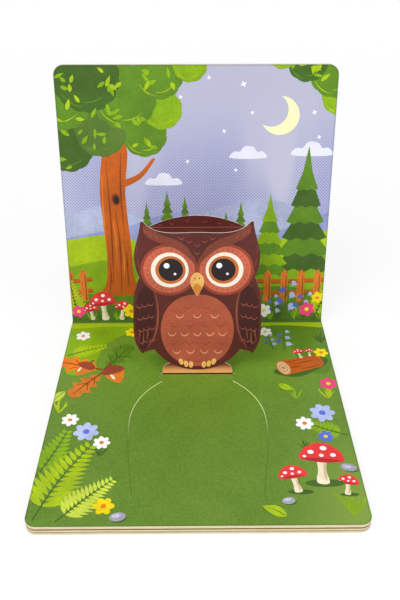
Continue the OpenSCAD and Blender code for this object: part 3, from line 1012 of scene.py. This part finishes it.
def cover_pictures():
    """Plain covers: a pale inner border line and large leaves, with the title's place left bare."""
    for name, matrix, body, slot in (("front_art", COVER_BACK, "front_cover", "front_board"),
                                     ("back_art", COVER_UNDER, "back_cover", "back_board")):
        s = Sheet(name, matrix, body, slot, board_outline(-0.3, PAGE))
        for x, y, length, width, turn in ((62, 34, 40, 17, 28), (40, 22, 30, 13, 58),
                                          (66, 150, 34, 14, 150)):
            for side in (-1, 1):
                leaf(s, side * x, y, length, width, side * turn, "cover_leaf", "cover_leaf_dark", 1.5)
        margin, line = 9, 0.9
        half, low, high = PAGE / 2 - margin, 13.0, PAGE - margin
        for bar in ((-half, low, half, low + line), (-half, high - line, half, high),
                    (-half, low + line, -half + line, high - line),
                    (half - line, low + line, half, high - line)):
            s.lay("cover_band", oblong(*bar))
        s.finish()


def dress(node, material):
    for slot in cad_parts[node].material_slots:
        slot.link = "OBJECT"
        slot.material = material


def camera():
    """The photograph's own view, solved from the corners of both pages."""
    data = bpy.data.cameras.new("camera")
    data.sensor_width = 36.0
    data.lens = 43.1
    data.shift_y = -0.0515
    data.clip_start, data.clip_end = 0.01, 20
    eye = add_object("camera", data)
    yaw, pitch = math.radians(0.45), math.radians(31.5)
    look = Vector((math.sin(yaw) * math.cos(pitch), math.cos(yaw) * math.cos(pitch), -math.sin(pitch)))
    eye.location = FOLD + Vector((-1.2, -424.5, 303.9)) * MM
    eye.rotation_euler = look.to_track_quat("-Z", "Y").to_euler()
    bpy.context.scene.camera = eye


def lamp(name, place, size, power):
    data = bpy.data.lights.new(name, "AREA")
    data.size = size
    data.energy = power
    light = add_object(name, data)
    light.location = place
    aim = Vector((0, 0.05, 0.05))
    light.rotation_euler = (aim - Vector(place)).to_track_quat("-Z", "Y").to_euler()


def direct_rays(nodes, links):
    """1 for rays that show a surface to the camera, straight, mirrored or through film."""
    path = nodes.new("ShaderNodeLightPath")
    value = path.outputs["Is Camera Ray"]
    for kind in ("Is Glossy Ray", "Is Transmission Ray"):
        either = nodes.new("ShaderNodeMath")
        either.operation = "MAXIMUM"
        links.new(value, either.inputs[0])
        links.new(path.outputs[kind], either.inputs[1])
        value = either.outputs[0]
    return value


def show(nodes, links, kind, share, base, over):
    """Sends two shaders to an output, the second one with the share given."""
    mix = nodes.new("ShaderNodeMixShader")
    links.new(share, mix.inputs[0])
    links.new(base.outputs[0], mix.inputs[1])
    links.new(over.outputs[0], mix.inputs[2])
    links.new(mix.outputs[0], nodes.new(kind).inputs[0])


def add_room():
    """An even pale room that looks white."""
    scene = bpy.context.scene
    scene.view_settings.view_transform = "Standard"
    world = bpy.data.worlds.new("room")
    world.use_nodes = True
    nodes, links = world.node_tree.nodes, world.node_tree.links
    nodes.clear()
    seen = nodes.new("ShaderNodeBackground")
    seen.inputs["Color"].default_value = (1, 1, 1, 1)
    lit = nodes.new("ShaderNodeBackground")
    lit.inputs["Color"].default_value = (1.0, 0.99, 0.975, 1)
    lit.inputs["Strength"].default_value = 0.62
    show(nodes, links, "ShaderNodeOutputWorld", direct_rays(nodes, links), lit, seen)
    scene.world = world


def add_floor():
    """A pale floor that turns white away from the book."""
    half, drop = 12.0, 0.0001
    mesh = bpy.data.meshes.new("floor")
    mesh.from_pydata([(x, y, 0) for x, y in oblong(-half, -half, half, half)], [], [(0, 1, 2, 3)])
    floor = add_object("floor", mesh)
    floor.location = (0, 0, -drop)
    material = bpy.data.materials.new("floor_paper")
    material.use_nodes = True
    nodes, links = material.node_tree.nodes, material.node_tree.links
    nodes.clear()
    paper = nodes.new("ShaderNodeBsdfDiffuse")
    paper.inputs["Color"].default_value = (0.93, 0.93, 0.93, 1)
    glow = nodes.new("ShaderNodeEmission")
    coords = nodes.new("ShaderNodeTexCoord")
    distance = nodes.new("ShaderNodeVectorMath")
    distance.operation = "LENGTH"
    links.new(coords.outputs["Object"], distance.inputs[0])
    whiter = nodes.new("ShaderNodeMapRange")
    whiter.interpolation_type = "SMOOTHSTEP"
    for name, value in (("From Min", 0.2), ("From Max", 1.0), ("To Min", 0.8), ("To Max", 1.0)):
        whiter.inputs[name].default_value = value
    links.new(distance.outputs["Value"], whiter.inputs["Value"])
    share = nodes.new("ShaderNodeMath")
    share.operation = "MULTIPLY"
    links.new(direct_rays(nodes, links), share.inputs[0])
    links.new(whiter.outputs[0], share.inputs[1])
    show(nodes, links, "ShaderNodeOutputMaterial", share.outputs[0], paper, glow)
    mesh.materials.append(material)


dress("pages", pages_material())
dress("spine", spine_material())
dress("front_cover", cover_material("front_cover_print", -OUT, FOLD - OUT * UPRIGHT_T * MM))
dress("back_cover", cover_material("back_cover_print", -Z, FOLD - Z * FLAT_Z))
dress("popup_strip", strip_material())
dress("owl_figure", owl_material())
upright_picture()
flat_picture()
owl_picture()
dome_picture()
cover_pictures()
camera()
add_room()
add_floor()
lamp("key", (-0.8, -0.9, 1.5), 1.0, 19.0)
lamp("fill", (1.1, -0.7, 1.0), 1.2, 8.0)
